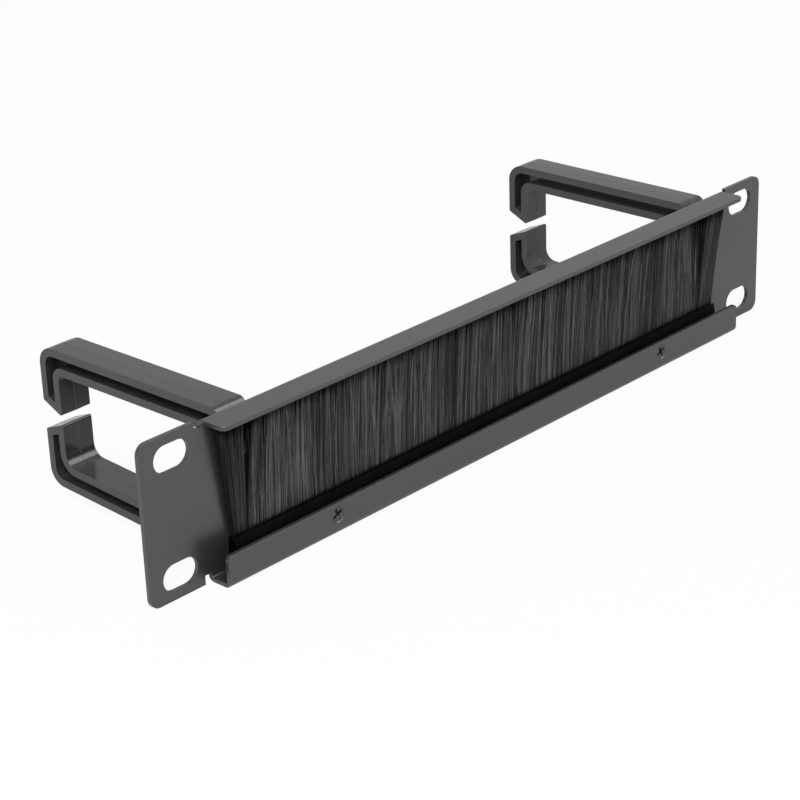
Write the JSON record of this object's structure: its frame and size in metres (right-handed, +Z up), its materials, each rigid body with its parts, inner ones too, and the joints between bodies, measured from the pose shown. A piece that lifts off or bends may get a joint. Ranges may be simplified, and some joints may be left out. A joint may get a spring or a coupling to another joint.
{
  "type": "rack_brush_strip_panel",
  "caption": "Ten-inch rack panel of folded black sheet, one unit high, with a bristle pass-through for cables and open plastic cable rings behind.",
  "frame": {"origin": "the middle of the four rack slots, on the back face of the sheet where the panel meets the rack rails", "axes": "+X along the panel, to the right seen from the front; +Y from the back face into the rack, along the axis of the rack slots; +Z up"},
  "size_m": [0.254, 0.0782, 0.044],
  "materials": {
    "panel_paint": "fine-textured satin black powder coat on folded steel sheet",
    "ring_plastic": "moulded black plastic, satin, with a parting line round the middle",
    "holder_metal": "black coated folded strip",
    "wire_steel": "plain drawn wire",
    "bristle_nylon": "fine black nylon filaments",
    "screw_black": "black coated screw"
  },
  "bodies": {
    "root": {"front_panel": "panel_paint", "cable_ring_left": "ring_plastic", "cable_ring_right": "ring_plastic", "brush_holder": "holder_metal", "core_wire": "wire_steel", "bristles": "bristle_nylon", "clamp_screws": "screw_black", "ring_screws": "screw_black"}
  },
  "joints": []
}
